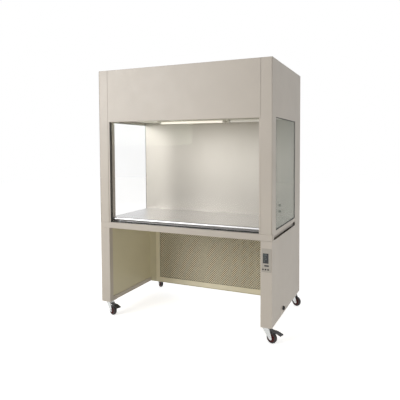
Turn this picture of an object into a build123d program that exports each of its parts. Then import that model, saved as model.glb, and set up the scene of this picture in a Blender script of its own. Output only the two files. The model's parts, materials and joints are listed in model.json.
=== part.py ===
from build123d import *
import os

os.makedirs("parts", exist_ok=True)

# Laminar flow hood, double width, vertical flow. Millimetres.
# Frame: origin on the floor under the middle of the cabinet, +Z up, front face towards -Y.

# ------------------------------------------------------------------ driving sizes
cabinet_depth = 780.0
body_height = 1750.0  # bottom of the legs to the top cover
caster_height = 108.0  # floor to the bottom of the legs
sheet = 1.5  # folded steel sheet
fit_gap = 0.3  # between pieces that are only fastened side by side
cut_over = 1.0  # how far a cutting block runs past what it cuts

# stand
leg_width = 78.0
leg_return = 38.0  # depth of the leg's inner return
leg_hem = 9.5  # fold that carries the front edge of the inner side panel
stand_height = 570.0  # bottom of the legs to the underside of the bench frame
frame_height = 44.0  # bench frame tube
frame_depth = 45.0
tube_wall = 2.0
side_rail_width = 40.0
side_rail_setback = 18.0  # shadow gap beside the worktop
bottom_rail_height = 30.0
inner_panel_recess = 8.0
plenum_depth = 230.0  # intake panel to the back

# upper cabinet
post_depth = 78.0
header_height = 382.0
header_lip = 12.0
side_sill_drop = 14.0  # how far the side panel hangs below the bench frame's top
window_front = 80.0  # all four window edges are the cut-out in the side panel
window_rear_lap = 15.0  # side window's rear edge behind the chamber's rear wall
window_drop = 16.0  # window's lower edge below the work surface
window_top_drop = 12.0  # window's upper edge below the ceiling
window_radius = 14.0
gasket_width = 12.0
gasket_depth = 6.0
glass_bite = 5.0  # how deep a pane sits in its gasket
side_glass = 4.0

# worktop
worktop_height = 636.0  # work surface above the bottom of the legs
nose_radius = 11.0
nose_rise = 14.0  # top of the rolled nose above the work surface
nose_setback = 28.0
worktop_sheet = 1.5

# sash
sash_glass = 5.0
sash_setback = 15.5  # centre of the sash behind the front face
sash_running_gap = 0.5
track_depth = 25.0
track_width = 12.0
groove_depth = 9.0
sash_seal_height = 8.0
sash_overlap = 30.0  # glass behind the header when the sash is shut
sash_rest_gap = 2.0  # seal above the rail
pan_gap = 4.0  # ceiling pan behind the sash tracks

# ceiling, filter and lamps
ceiling_height = 1395.0  # above the bottom of the legs
filter_length = 1196.0  # with the gap beside it, sets the width of the whole cabinet
filter_side_gap = 82.0  # filter's end to the cabinet's side
filter_depth = 548.0
filter_height = 69.0
filter_frame_wall = 18.0
filter_clearance = 10.0  # filter to the pan's front and to the rear wall
media_inset = 4.0  # folded media inside the frame's two faces
pleat_count = 30
pleat_wall = 3.0
screen_thickness = 1.5
screen_lap = 20.0
lamp_row = 300.0  # lamp centre line behind the front face
fixture_left_gap = 257.0  # from the leg's inner face
fixture_right_gap = 43.0
fixture_width = 24.0
fixture_height = 12.0
tube_radius = 8.0
tube_drop = 12.0  # tube centre below the fixture
tube_round = 1.5
fixture_round = 3.0
socket_wall = 1.0
short_tube = 288.0
socket_spacing = 19.0  # between the two lamps' sockets
socket_length = 12.0

# plugs in the chamber's rear wall
plug_inset = 40.0  # from the leg's inner face
plug_radius = 7.0
plug_heights = (675.0, 722.0)  # above the bottom of the legs
plug_shank = 8.0
plug_head = 4.0
plug_flange = 3.0
plug_round = 1.5

# intake
stile_width = 60.0  # sheet between the side cabinet and the grille frame
grille_bar = 36.0
grille_frame_thickness = 8.0
grille_bottom = 11.0
grille_top_gap = 8.0  # grille frame below the bench frame
grille_sheet = 1.2
grille_columns = 12
grille_rows = 8
grille_strand = 9.0  # metal left between neighbouring openings
grille_bevel = 2.0
cut_lap = 5.0  # sheet cut-out beyond the grille frame's inner edge
prefilter_thickness = 22.0
prefilter_lap = 4.0

# blowers
blower_inset = 272.0  # blower's middle from the leg's inner face
blower_width = 140.0
blower_back_gap = 100.0  # impeller axis ahead of the cabinet's back
blower_drop = 153.0  # impeller axis below the deck
scroll_radius = 70.0
scroll_growth = 9.0
scroll_tongue = 6.0  # flat between the scroll's start and the neck
impeller_radius = 62.0
impeller_width = 108.0
blade_count = 24
blade_chord = 13.0
blade_thickness = 1.2
blade_lean = 28.0
blade_inset = 1.0  # blade edge inside the rims
inlet_radius = 52.0
hub_radius = 18.0
hub_length = 30.0
shaft_radius = 6.0
shaft_gap = 0.05
shaft_hole = 8.0
motor_radius = 43.0
motor_length = 80.0
motor_bore = 60.0  # depth of the shaft bore in the motor
shaft_reach = 56.0  # shaft inside the motor
wall_cut = 3.0  # half length of a hole cut through a housing wall

# control panel on the right leg
panel_width = 66.0
panel_height = 155.0
panel_bottom = 368.0
panel_thickness = 1.5
panel_round = 3.0
panel_shift = 2.0  # plate's centre outboard of the leg's
control_inset = 2.0  # plate overlap on the leg's cut-out
display_width = 38.0
display_height = 65.0
display_bottom = 426.0
display_inset = 42.0  # window's centre from the cabinet's side
status_width = 30.0
status_height = 9.0
status_bottom = 406.0
status_inset = 36.0
window_thickness = 2.0
button_radius = 5.0
button_gap = 0.3
button_pitch = 17.5
button_z = 386.0
button_travel = 1.5
button_stand = 2.5
button_round = 1.0
button_shift = 6.0  # middle button left of the plate's centre
collar_lap = 1.5
collar_thickness = 1.0
board_thickness = 1.6
board_gap = 2.0  # board inside the leg's cut-out
board_post = 2.5
post_inset_x = 4.0
post_inset_z = 3.0

# cable gland low on the right side
gland_y = 274.0  # behind the front face
gland_z = 39.0
gland_radius = 16.0
gland_nose = 12.0
gland_cap = 12.8
gland_taper = 12.0
gland_bore = 6.0
gland_wall = 1.8
gland_slack = 0.2
gland_tail = 8.0  # thread and nut behind the sheet

# casters
caster_inset = 44.0
caster_plate = 70.0
plate_thickness = 3.0
raceway_radius = 26.0
raceway_height = 5.0
kingpin_radius = 6.0
kingpin_head = 5.0
fork_sheet = 3.0
fork_top = 96.0
fork_gap = 32.0
fork_crown = 27.0
cheek_depth = 8.0
boss_wall = 7.0  # cheek metal round the axle
trail = 36.0
wheel_radius = 37.5
wheel_width = 24.0
hub_width = 31.0
axle_radius = 5.0
bolt_head = 3.0
tread_depth = 13.0
tread_shoulder = 5.0
tread_edge = 4.0
web_inset = 6.0
rim_slope = 3.0
hub_foot = 9.0
hub_wall = 6.0
running_gap = 0.05
pedal_pin_x = 22.0
pedal_pin_z = 84.0
pedal_pin_radius = 3.0
pin_stand = 1.0  # pin past the cheeks
pedal_width = 38.0
barrel_wall = 2.5
barrel_length = 30.0
barrel_rise = 4.0
# outlines along the trail, each point's height above the pedal's pin
shoe_points = ((62, 2), (62, -1.5), (56, -3), (55, -10), (47, -8), (46, -1))
tread_points = ((58, 2.2), (74, 1), (112, -8), (116, -13), (113, -14), (110, -10.5), (73, -2), (58, -1))
caster_turn = {"front_left": -20.0, "front_right": -18.0, "rear_left": -35.0, "rear_right": -20.0}

# back panel screws
screw_radius = 4.5
screw_head = 2.4
screw_columns = 5
screw_inset = 15.0

# ------------------------------------------------------------------ levels and planes worked out
cabinet_width = filter_length + 2 * filter_side_gap
front = -cabinet_depth / 2
back = cabinet_depth / 2
half_width = cabinet_width / 2
base = caster_height
frame_bottom = base + stand_height
frame_top = frame_bottom + frame_height
top = base + body_height
under_top = top - sheet - fit_gap
header_bottom = top - header_height
side_inner = half_width - sheet - fit_gap  # reach of what fits between the side panels
leg_inner = half_width - leg_width
fixture_left = -leg_inner + fixture_left_gap
fixture_right = leg_inner - fixture_right_gap
plug_x = leg_inner - plug_inset
blower_x = leg_inner - blower_inset
display_x = half_width - display_inset
status_x = half_width - status_inset
window_bottom = worktop_height - window_drop
window_top = ceiling_height - window_top_drop
knee_half = leg_inner - fit_gap
sill_bottom = frame_top - side_sill_drop
ceiling = base + ceiling_height
surface = base + worktop_height
sash_y = front + sash_setback
track_back = sash_y + track_depth / 2
pan_front = track_back + pan_gap
rear_wall_y = pan_front + filter_depth + 2 * filter_clearance
window_rear = rear_wall_y + window_rear_lap - front
window_centre = (front + (window_front + window_rear) / 2, base + (window_bottom + window_top) / 2)
intake_y = back - plenum_depth
chamber_half = half_width - gasket_depth - fit_gap
rail_back = front + frame_depth
lower_back_y = back - sheet


def block(x0, x1, y0, y1, z0, z1, mode=Mode.ADD):
    """Box between two corners, in the row frame."""
    with Locations(((x0 + x1) / 2, (y0 + y1) / 2, (z0 + z1) / 2)):
        Box(abs(x1 - x0), abs(y1 - y0), abs(z1 - z0), mode=mode)


def rod(centre, radius, length, axis, mode=Mode.ADD):
    """Cylinder from centre along an axis letter, positive length only."""
    turn = {"X": (0, 90, 0), "Y": (-90, 0, 0), "Z": (0, 0, 0)}[axis]
    with Locations(Location(centre, turn)):
        Cylinder(radius, length, align=(Align.CENTER, Align.CENTER, Align.MIN), mode=mode)


def save(part, name):
    part.label = name
    export_step(part, f"parts/{name}.step")


# ------------------------------------------------------------------ stand
# Leg shell: one folded sheet makes the leg's front, its inner return and the whole outer side.
control_left = half_width - leg_width + (leg_width - panel_width) / 2 + panel_shift
control_right = control_left + panel_width
for side, sign in (("left", -1), ("right", 1)):
    with BuildPart() as leg_shell:
        with BuildSketch(Plane.XY.offset(base)):
            with BuildLine():
                fold = Polyline(
                    (leg_inner + leg_hem, front + leg_return),
                    (leg_inner, front + leg_return),
                    (leg_inner, front),
                    (half_width, front),
                    (half_width, back),
                )
                offset(fold, amount=sheet, side=Side.LEFT, kind=Kind.INTERSECTION)
            make_face()
        extrude(amount=stand_height)
        if side == "right":
            block(
                control_left + control_inset,
                control_right - control_inset,
                front - cut_over,
                front + sheet + cut_over,
                base + panel_bottom + control_inset,
                base + panel_bottom + panel_height - control_inset,
                mode=Mode.SUBTRACT,
            )
            rod(
                (half_width - sheet - cut_over, front + gland_y, base + gland_z),
                gland_bore + gland_wall + gland_slack,
                sheet + 2 * cut_over,
                "X",
                mode=Mode.SUBTRACT,
            )
    shell_part = leg_shell.part if side == "right" else mirror(leg_shell.part, about=Plane.YZ)
    save(shell_part, f"{side}_leg_shell")

    # Inner side panel: flat sheet set back behind the leg's return, standing on the bottom rail.
    with BuildPart() as inner_panel:
        panel_x = leg_inner + inner_panel_recess
        block(
            sign * panel_x,
            sign * (panel_x + sheet),
            front + leg_return,
            intake_y,
            base + bottom_rail_height,
            frame_bottom,
        )
    save(inner_panel.part, f"{side}_inner_panel")

# Bottom rails: flat tubes that close the side cabinets and carry the caster plates.
with BuildPart() as bottom_rails:
    for sign in (-1, 1):
        block(
            sign * (leg_inner + sheet),
            sign * (half_width - sheet),
            front + sheet,
            back - sheet - fit_gap,
            base,
            base + bottom_rail_height,
        )
        block(
            sign * leg_inner,
            sign * (leg_inner + sheet),
            front + leg_return,
            back - sheet - fit_gap,
            base,
            base + bottom_rail_height,
        )
        block(
            sign * (leg_inner + sheet),
            sign * (leg_inner + leg_hem),
            front + leg_return - sheet,
            front + leg_return,
            base,
            base + bottom_rail_height,
            mode=Mode.SUBTRACT,
        )
        block(
            sign * (leg_inner + leg_hem + tube_wall),
            sign * (half_width - sheet - tube_wall),
            front + leg_return + tube_wall,
            back - sheet - fit_gap - tube_wall,
            base + tube_wall,
            base + bottom_rail_height - tube_wall,
            mode=Mode.SUBTRACT,
        )
save(bottom_rails.part, "bottom_rails")

# Bench frame: the front tube runs the full width, the side tubes are set back.
with BuildPart() as front_rail:
    block(-half_width, half_width, front, rail_back, frame_bottom, frame_top)
    fillet(front_rail.edges().filter_by(Axis.X), radius=tube_wall)
    block(
        -half_width + tube_wall,
        half_width - tube_wall,
        front + tube_wall,
        rail_back - tube_wall,
        frame_bottom + tube_wall,
        frame_top - tube_wall,
        mode=Mode.SUBTRACT,
    )
save(front_rail.part, "front_rail")

side_rail_outer = half_width - side_rail_setback
side_rail_inner = side_rail_outer - side_rail_width
middle_half = side_rail_inner - fit_gap
tube_spans = (
    (-side_rail_outer, -side_rail_inner, rail_back, lower_back_y - fit_gap),
    (side_rail_inner, side_rail_outer, rail_back, lower_back_y - fit_gap),
    (-middle_half, middle_half, intake_y, intake_y + frame_depth),
)
with BuildPart() as frame_rails:
    for x0, x1, y0, y1 in tube_spans:
        block(x0, x1, y0, y1, frame_bottom, frame_top)
        block(
            x0 + tube_wall,
            x1 - tube_wall,
            y0 + tube_wall,
            y1 - tube_wall,
            frame_bottom + tube_wall,
            frame_top - tube_wall,
            mode=Mode.SUBTRACT,
        )
save(frame_rails.part, "frame_rails")

# ------------------------------------------------------------------ intake
grille_half = knee_half + fit_gap - stile_width
open_half = grille_half - grille_bar
frame_low = base + grille_bottom
frame_high = frame_bottom - grille_top_gap
open_low = frame_low + grille_bar
open_high = frame_high - grille_bar

with BuildPart() as plenum_front:
    block(-knee_half, knee_half, intake_y, intake_y + sheet, base + sheet, frame_bottom)
    block(
        -open_half - cut_lap,
        open_half + cut_lap,
        intake_y - cut_over,
        intake_y + sheet + cut_over,
        open_low - cut_lap,
        open_high + cut_lap,
        mode=Mode.SUBTRACT,
    )
save(plenum_front.part, "plenum_front")

with BuildPart() as plenum_floor:
    block(-knee_half, knee_half, intake_y, lower_back_y - fit_gap, base, base + sheet)
save(plenum_floor.part, "plenum_floor")

# Grille frame: flat bars mitred into a ring, with an eased front edge.
with BuildPart() as grille_frame:
    with BuildSketch(Plane.XZ.offset(-intake_y)):
        with Locations((0, (frame_low + frame_high) / 2)):
            Rectangle(2 * grille_half, frame_high - frame_low)
            Rectangle(2 * open_half, open_high - open_low, mode=Mode.SUBTRACT)
    extrude(amount=grille_frame_thickness)
    chamfer(grille_frame.faces().sort_by(Axis.Y)[0].edges(), length=grille_bevel)
save(grille_frame.part, "grille_frame")

# Intake grille: diamond openings in one sheet, held between frame and plenum front.
grille_width = 2 * (open_half + cut_lap) - 2 * fit_gap
grille_height = open_high - open_low + 2 * cut_lap - 2 * fit_gap
pitch_x = 2 * open_half / grille_columns
pitch_z = (open_high - open_low) / grille_rows
with BuildPart() as intake_grille:
    with BuildSketch(Plane.XZ.offset(-intake_y)):
        with Locations((0, (open_low + open_high) / 2)):
            Rectangle(grille_width, grille_height)
            with GridLocations(pitch_x, pitch_z, grille_columns, grille_rows):
                Polygon(
                    (-(pitch_x - grille_strand) / 2, 0),
                    (0, -(pitch_z - grille_strand) / 2),
                    ((pitch_x - grille_strand) / 2, 0),
                    (0, (pitch_z - grille_strand) / 2),
                    mode=Mode.SUBTRACT,
                )
    extrude(amount=-grille_sheet)
save(intake_grille.part, "intake_grille")

# Prefilter pad: stands on the plenum front's cut-out edge, right behind the grille.
prefilter_y = intake_y + sheet + fit_gap
with BuildPart() as prefilter:
    block(
        -open_half - cut_lap - prefilter_lap,
        open_half + cut_lap + prefilter_lap,
        prefilter_y,
        prefilter_y + prefilter_thickness,
        open_low - cut_lap - prefilter_lap,
        open_high + cut_lap + prefilter_lap,
    )
save(prefilter.part, "prefilter")

# ------------------------------------------------------------------ blowers
axis_y = back - blower_back_gap
deck_z = frame_bottom - sheet
axis_z = deck_z - blower_drop
scroll_left = -scroll_growth - (scroll_radius + 2 * scroll_growth)

with BuildPart() as blower_deck:
    block(-side_inner, side_inner, intake_y + sheet + fit_gap, lower_back_y - fit_gap, deck_z, deck_z + sheet)
    for centre in (-blower_x, blower_x):
        block(
            centre - blower_width / 2 + sheet,
            centre + blower_width / 2 - sheet,
            axis_y + scroll_left + sheet,
            axis_y - scroll_tongue - sheet,
            deck_z - cut_over,
            deck_z + sheet + cut_over,
            mode=Mode.SUBTRACT,
        )
save(blower_deck.part, "blower_deck")


def scroll_outline(inset, neck_top):
    """Three quarter arcs of growing radius around the impeller axis, then a straight neck up."""
    r1 = scroll_radius - inset
    r2 = scroll_radius + scroll_growth - inset
    r3 = scroll_radius + 2 * scroll_growth - inset
    with BuildLine() as outline:
        CenterArc((axis_y, axis_z), r1, 90, -90)
        CenterArc((axis_y - scroll_growth, axis_z), r2, 0, -90)
        CenterArc((axis_y - scroll_growth, axis_z + scroll_growth), r3, -90, -90)
        Polyline(
            (axis_y - scroll_growth - r3, axis_z + scroll_growth),
            (axis_y - scroll_growth - r3, neck_top),
            (axis_y - scroll_tongue - inset, neck_top),
            (axis_y - scroll_tongue - inset, axis_z + r1),
            (axis_y, axis_z + r1),
        )
    return outline.line


with BuildPart() as blower_housings:
    for centre in (-blower_x, blower_x):
        with BuildSketch(Plane.YZ.offset(centre - blower_width / 2)):
            add(scroll_outline(0, deck_z))
            make_face()
        extrude(amount=blower_width)
        with BuildSketch(Plane.YZ.offset(centre - blower_width / 2 + sheet)):
            add(scroll_outline(sheet, deck_z + cut_over))
            make_face()
        extrude(amount=blower_width - 2 * sheet, mode=Mode.SUBTRACT)
        outboard = 1 if centre > 0 else -1
        inlet_x = centre + outboard * blower_width / 2
        rod((inlet_x - wall_cut, axis_y, axis_z), inlet_radius, 2 * wall_cut, "X", mode=Mode.SUBTRACT)
        motor_side = centre - outboard * blower_width / 2
        rod((motor_side - wall_cut, axis_y, axis_z), shaft_hole, 2 * wall_cut, "X", mode=Mode.SUBTRACT)
save(blower_housings.part, "blower_housings")

with BuildPart() as blower_motors:
    for outboard in (-1, 1):
        face_x = outboard * (blower_x - blower_width / 2)
        low_x = face_x - motor_length if outboard > 0 else face_x
        rod((low_x, axis_y, axis_z), motor_radius, motor_length, "X")
        bore_x = face_x - motor_bore if outboard > 0 else face_x
        rod((bore_x, axis_y, axis_z), shaft_radius + shaft_gap, motor_bore, "X", mode=Mode.SUBTRACT)
save(blower_motors.part, "blower_motors")

# Impeller: back plate on a hub, forward-leaning blades and a front ring, on its own shaft.
for side, outboard in (("left", -1), ("right", 1)):
    plane_x = outboard * (blower_x - impeller_width / 2)
    plane = Plane((plane_x, axis_y, axis_z), x_dir=(0, 1, 0), z_dir=(outboard, 0, 0))
    with BuildPart() as impeller:
        with BuildSketch(plane):
            Circle(impeller_radius)
        extrude(amount=sheet)
        with BuildSketch(plane.offset(sheet)):
            with PolarLocations(impeller_radius - blade_chord / 2 - blade_inset, blade_count):
                Rectangle(blade_chord, blade_thickness, rotation=blade_lean)
        extrude(amount=impeller_width - 2 * sheet)
        with BuildSketch(plane.offset(impeller_width - sheet)):
            Circle(impeller_radius)
            Circle(impeller_radius - blade_chord - blade_inset, mode=Mode.SUBTRACT)
        extrude(amount=sheet)
        with BuildSketch(plane):
            Circle(hub_radius)
        extrude(amount=hub_length)
        with BuildSketch(plane):
            Circle(shaft_radius)
        extrude(amount=-(blower_width - impeller_width) / 2 - shaft_reach)
    save(impeller.part, f"{side}_impeller")

# ------------------------------------------------------------------ upper cabinet
for side, sign in (("left", -1), ("right", 1)):
    # Front post: closed folded section, standing on the bench frame.
    with BuildPart() as post:
        post_mid = (leg_inner + side_inner) / 2
        with BuildSketch(Plane.XY.offset(frame_top)):
            with Locations((sign * post_mid, front + post_depth / 2)):
                RectangleRounded(side_inner - leg_inner, post_depth, 2 * sheet)
                Rectangle(side_inner - leg_inner - 2 * sheet, post_depth - 2 * sheet, mode=Mode.SUBTRACT)
        extrude(amount=under_top - frame_top)
    save(post.part, f"{side}_post")

    # Upper side panel: flat sheet with a window, notched over the bench frame.
    with BuildPart() as side_panel:
        with BuildSketch(Plane.YZ.offset(half_width - sheet)):
            with BuildLine():
                Polyline(
                    (front, frame_top + fit_gap),
                    (rail_back + fit_gap, frame_top + fit_gap),
                    (rail_back + fit_gap, sill_bottom),
                    (front + window_rear, sill_bottom),
                    (front + window_rear, frame_bottom + fit_gap),
                    (back, frame_bottom + fit_gap),
                    (back, under_top),
                    (front, under_top),
                    close=True,
                )
            make_face()
            with Locations(window_centre):
                RectangleRounded(
                    window_rear - window_front,
                    window_top - window_bottom,
                    window_radius,
                    mode=Mode.SUBTRACT,
                )
        extrude(amount=sheet)
    panel_part = side_panel.part if side == "right" else mirror(side_panel.part, about=Plane.YZ)
    save(panel_part, f"{side}_side_panel")

    # Side glass: one pane, its edges held in the gasket.
    pane_inset = gasket_width - glass_bite
    pane_x = half_width - gasket_depth / 2
    with BuildPart() as pane:
        block(
            sign * (pane_x - side_glass / 2),
            sign * (pane_x + side_glass / 2),
            front + window_front + pane_inset,
            front + window_rear - pane_inset,
            base + window_bottom + pane_inset,
            base + window_top - pane_inset,
        )
    save(pane.part, f"{side}_side_glass")

# Glass gaskets: rubber rings with a groove for the pane.
with BuildPart() as glass_gaskets:
    for sign in (-1, 1):
        inner_x = half_width - gasket_depth if sign > 0 else -half_width
        with BuildSketch(Plane.YZ.offset(inner_x)):
            with Locations(window_centre):
                RectangleRounded(window_rear - window_front, window_top - window_bottom, window_radius)
                Rectangle(
                    window_rear - window_front - 2 * gasket_width,
                    window_top - window_bottom - 2 * gasket_width,
                    mode=Mode.SUBTRACT,
                )
        extrude(amount=gasket_depth)
        block(
            sign * (pane_x - side_glass / 2),
            sign * (pane_x + side_glass / 2),
            front + window_front + pane_inset,
            front + window_rear - pane_inset,
            base + window_bottom + pane_inset,
            base + window_top - pane_inset,
            mode=Mode.SUBTRACT,
        )
save(glass_gaskets.part, "glass_gaskets")

# Header front panel: one sheet with a short lip at its top and bottom edges.
with BuildPart() as header_panel:
    with BuildSketch(Plane.YZ.offset(-leg_inner + fit_gap)):
        with BuildLine():
            fold = Polyline(
                (front + header_lip, header_bottom),
                (front, header_bottom),
                (front, under_top),
                (front + header_lip, under_top),
            )
            offset(fold, amount=sheet, side=Side.RIGHT, kind=Kind.INTERSECTION)
        make_face()
    extrude(amount=2 * (leg_inner - fit_gap))
    for sign in (-1, 1):
        block(
            sign * (leg_inner - track_width - fit_gap),
            sign * leg_inner,
            front + sheet,
            front + header_lip + cut_over,
            header_bottom - cut_over,
            under_top + cut_over,
            mode=Mode.SUBTRACT,
        )
save(header_panel.part, "header_panel")

with BuildPart() as top_cover:
    with BuildSketch(Plane.XY.offset(top - sheet)):
        RectangleRounded(cabinet_width, cabinet_depth, 2 * sheet)
    extrude(amount=sheet)
save(top_cover.part, "top_cover")

with BuildPart() as upper_back:
    block(-side_inner, side_inner, back - sheet, back, frame_bottom + fit_gap, under_top)
save(upper_back.part, "upper_back_panel")

with BuildPart() as lower_back:
    block(-side_inner, side_inner, lower_back_y, back, base, frame_bottom)
save(lower_back.part, "lower_back_panel")

# Chamber rear wall: stainless sheet with both edges folded back along the side glass.
with BuildPart() as rear_wall:
    with BuildSketch(Plane.XY.offset(surface)):
        with BuildLine():
            fold = Polyline(
                (-chamber_half, rear_wall_y + header_lip),
                (-chamber_half, rear_wall_y),
                (chamber_half, rear_wall_y),
                (chamber_half, rear_wall_y + header_lip),
            )
            offset(fold, amount=sheet, side=Side.LEFT, kind=Kind.INTERSECTION)
        make_face()
    extrude(amount=ceiling - surface)
    for height in plug_heights:
        rod(
            (plug_x, rear_wall_y - cut_over, base + height),
            plug_radius,
            sheet + 2 * cut_over,
            "Y",
            mode=Mode.SUBTRACT,
        )
save(rear_wall.part, "chamber_rear_wall")

with BuildPart() as wall_plugs:
    for height in plug_heights:
        rod((plug_x, rear_wall_y, base + height), plug_radius, plug_shank, "Y")
        rod((plug_x, rear_wall_y - plug_head, base + height), plug_radius + plug_flange, plug_head, "Y")
    fillet(wall_plugs.faces().group_by(Axis.Y)[0].edges(), radius=plug_round)
save(wall_plugs.part, "wall_plugs")

# Worktop: stainless tray with a rolled front nose, notched round the posts.
nose_y = front + nose_setback + nose_radius
nose_z = surface + nose_rise - nose_radius
with BuildPart() as worktop:
    with BuildSketch(Plane.YZ.offset(-chamber_half)):
        with BuildLine():
            Polyline(
                (nose_y, nose_z + nose_radius),
                (nose_y + nose_radius, nose_z + nose_radius),
                (nose_y + nose_radius + nose_rise, surface),
                (rear_wall_y + sheet, surface),
                (rear_wall_y + sheet, frame_top),
                (nose_y + nose_radius, frame_top),
                (nose_y + nose_radius, nose_z - nose_radius),
                (nose_y, nose_z - nose_radius),
            )
            CenterArc((nose_y, nose_z), nose_radius, 90, 180)
        make_face()
    extrude(amount=2 * chamber_half)
    block(
        -chamber_half + worktop_sheet,
        chamber_half - worktop_sheet,
        front + post_depth + fit_gap + worktop_sheet,
        rear_wall_y,
        frame_top - cut_over,
        surface - worktop_sheet,
        mode=Mode.SUBTRACT,
    )
    for sign in (-1, 1):
        block(
            sign * knee_half,
            sign * (chamber_half + cut_over),
            front,
            front + post_depth + fit_gap,
            frame_top - cut_over,
            surface + nose_rise + cut_over,
            mode=Mode.SUBTRACT,
        )
save(worktop.part, "worktop")

# Ceiling pan, diffuser screen and filter above it.
filter_y = (pan_front + rear_wall_y) / 2
with BuildPart() as ceiling_pan:
    with BuildSketch(Plane.YZ.offset(-side_inner)):
        with BuildLine():
            fold = Polyline(
                (pan_front, ceiling + 2 * header_lip),
                (pan_front, ceiling),
                (rear_wall_y, ceiling),
            )
            offset(fold, amount=sheet, side=Side.LEFT, kind=Kind.INTERSECTION)
        make_face()
    extrude(amount=2 * side_inner)
    block(
        -filter_length / 2 + filter_frame_wall,
        filter_length / 2 - filter_frame_wall,
        filter_y - filter_depth / 2 + filter_frame_wall,
        filter_y + filter_depth / 2 - filter_frame_wall,
        ceiling - cut_over,
        ceiling + sheet + cut_over,
        mode=Mode.SUBTRACT,
    )
    for sign in (-1, 1):
        block(
            sign * knee_half,
            sign * (side_inner + cut_over),
            front,
            front + post_depth + fit_gap,
            ceiling - cut_over,
            ceiling + 3 * header_lip,
            mode=Mode.SUBTRACT,
        )
save(ceiling_pan.part, "ceiling_pan")

with BuildPart() as diffuser_screen:
    block(
        -filter_length / 2 + filter_frame_wall - screen_lap / 2,
        filter_length / 2 - filter_frame_wall + screen_lap / 2,
        filter_y - filter_depth / 2 + filter_frame_wall - screen_lap / 2,
        filter_y + filter_depth / 2 - filter_frame_wall + screen_lap / 2,
        ceiling - screen_thickness,
        ceiling,
    )
save(diffuser_screen.part, "diffuser_screen")

# Filter: a boxed frame with the accordion-folded media potted between its walls.
media_half = filter_length / 2 - filter_frame_wall
media_low = ceiling + sheet + media_inset
media_high = ceiling + sheet + filter_height - media_inset
with BuildPart() as hepa_filter:
    with BuildSketch(Plane.XY.offset(ceiling + sheet)):
        with Locations((0, filter_y)):
            Rectangle(filter_length, filter_depth)
            Rectangle(
                filter_length - 2 * filter_frame_wall,
                filter_depth - 2 * filter_frame_wall,
                mode=Mode.SUBTRACT,
            )
    extrude(amount=filter_height)
    fold_points = []
    for step in range(2 * pleat_count + 1):
        x = -media_half + step * media_half / pleat_count
        z = media_low if step % 2 == 0 else media_high - 2 * pleat_wall
        fold_points.append((x, z))
    upper_points = [(x, z + 2 * pleat_wall) for x, z in reversed(fold_points)]
    with BuildSketch(Plane.XZ.offset(-(filter_y - filter_depth / 2 + filter_frame_wall))):
        with BuildLine():
            Polyline(*fold_points, *upper_points, close=True)
        make_face()
    extrude(amount=-(filter_depth - 2 * filter_frame_wall))
save(hepa_filter.part, "hepa_filter")

# ------------------------------------------------------------------ lamps
lamp_y = front + lamp_row
fixture_top = ceiling - screen_thickness
fixture_bottom = fixture_top - fixture_height
tube_z = fixture_bottom - tube_drop
long_start = fixture_left + socket_length
long_tube = fixture_right - fixture_left - 4 * socket_length - short_tube - socket_spacing
short_end = fixture_right - socket_length
with BuildPart() as lamp_fixture:
    block(
        fixture_left,
        fixture_right,
        lamp_y - fixture_width / 2,
        lamp_y + fixture_width / 2,
        fixture_bottom,
        fixture_top,
    )
    fillet(lamp_fixture.edges().filter_by(Axis.X).group_by(Axis.Z)[0], radius=fixture_round)
    socket_starts = (
        fixture_left,
        long_start + long_tube,
        short_end - short_tube - socket_length,
        short_end,
    )
    for start in socket_starts:
        block(
            start,
            start + socket_length,
            lamp_y - tube_radius - socket_wall,
            lamp_y + tube_radius + socket_wall,
            tube_z - tube_radius - socket_wall,
            fixture_bottom + cut_over,
        )
save(lamp_fixture.part, "lamp_fixture")

with BuildPart() as fluorescent_tube:
    rod((long_start, lamp_y, tube_z), tube_radius, long_tube, "X")
    fillet(fluorescent_tube.edges().filter_by(GeomType.CIRCLE), radius=tube_round)
save(fluorescent_tube.part, "fluorescent_tube")

with BuildPart() as ultraviolet_tube:
    rod((short_end - short_tube, lamp_y, tube_z), tube_radius, short_tube, "X")
    fillet(ultraviolet_tube.edges().filter_by(GeomType.CIRCLE), radius=tube_round)
save(ultraviolet_tube.part, "ultraviolet_tube")

# ------------------------------------------------------------------ sash and its tracks
track_inner = leg_inner - track_width
glass_half = track_inner + groove_depth - 2 * sash_running_gap
sash_bottom = frame_top + sash_rest_gap
sash_top = header_bottom + sash_overlap
for side, sign in (("left", -1), ("right", 1)):
    with BuildPart() as track:
        with BuildSketch(Plane.XY.offset(frame_top)):
            with Locations((sign * (leg_inner - track_width / 2), sash_y)):
                Rectangle(track_width, track_depth)
            with Locations((sign * (track_inner + groove_depth / 2), sash_y)):
                Rectangle(groove_depth, sash_glass + 2 * sash_running_gap, mode=Mode.SUBTRACT)
        extrude(amount=under_top - frame_top)
    save(track.part, f"{side}_sash_track")

with BuildPart() as sash:
    block(
        -glass_half,
        glass_half,
        sash_y - sash_glass / 2,
        sash_y + sash_glass / 2,
        sash_bottom + sash_seal_height,
        sash_top,
    )
save(sash.part, "sash_glass")

with BuildPart() as sash_seal:
    block(
        -glass_half,
        glass_half,
        sash_y - sash_glass / 2,
        sash_y + sash_glass / 2,
        sash_bottom,
        sash_bottom + sash_seal_height,
    )
save(sash_seal.part, "sash_seal")

# ------------------------------------------------------------------ control panel
display_low = base + display_bottom
button_centre_x = (control_left + control_right) / 2 - button_shift
with BuildPart() as control_plate:
    with BuildSketch(Plane.XZ.offset(-front)):
        with Locations(((control_left + control_right) / 2, base + panel_bottom + panel_height / 2)):
            RectangleRounded(panel_width, panel_height, panel_round)
        with Locations((display_x, display_low + display_height / 2)):
            Rectangle(display_width, display_height, mode=Mode.SUBTRACT)
        with Locations((status_x, base + status_bottom + status_height / 2)):
            Rectangle(status_width, status_height, mode=Mode.SUBTRACT)
        with Locations((button_centre_x, base + button_z)):
            with GridLocations(button_pitch, 1, 3, 1):
                Circle(button_radius + button_gap, mode=Mode.SUBTRACT)
    extrude(amount=panel_thickness)
save(control_plate.part, "control_plate")

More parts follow.
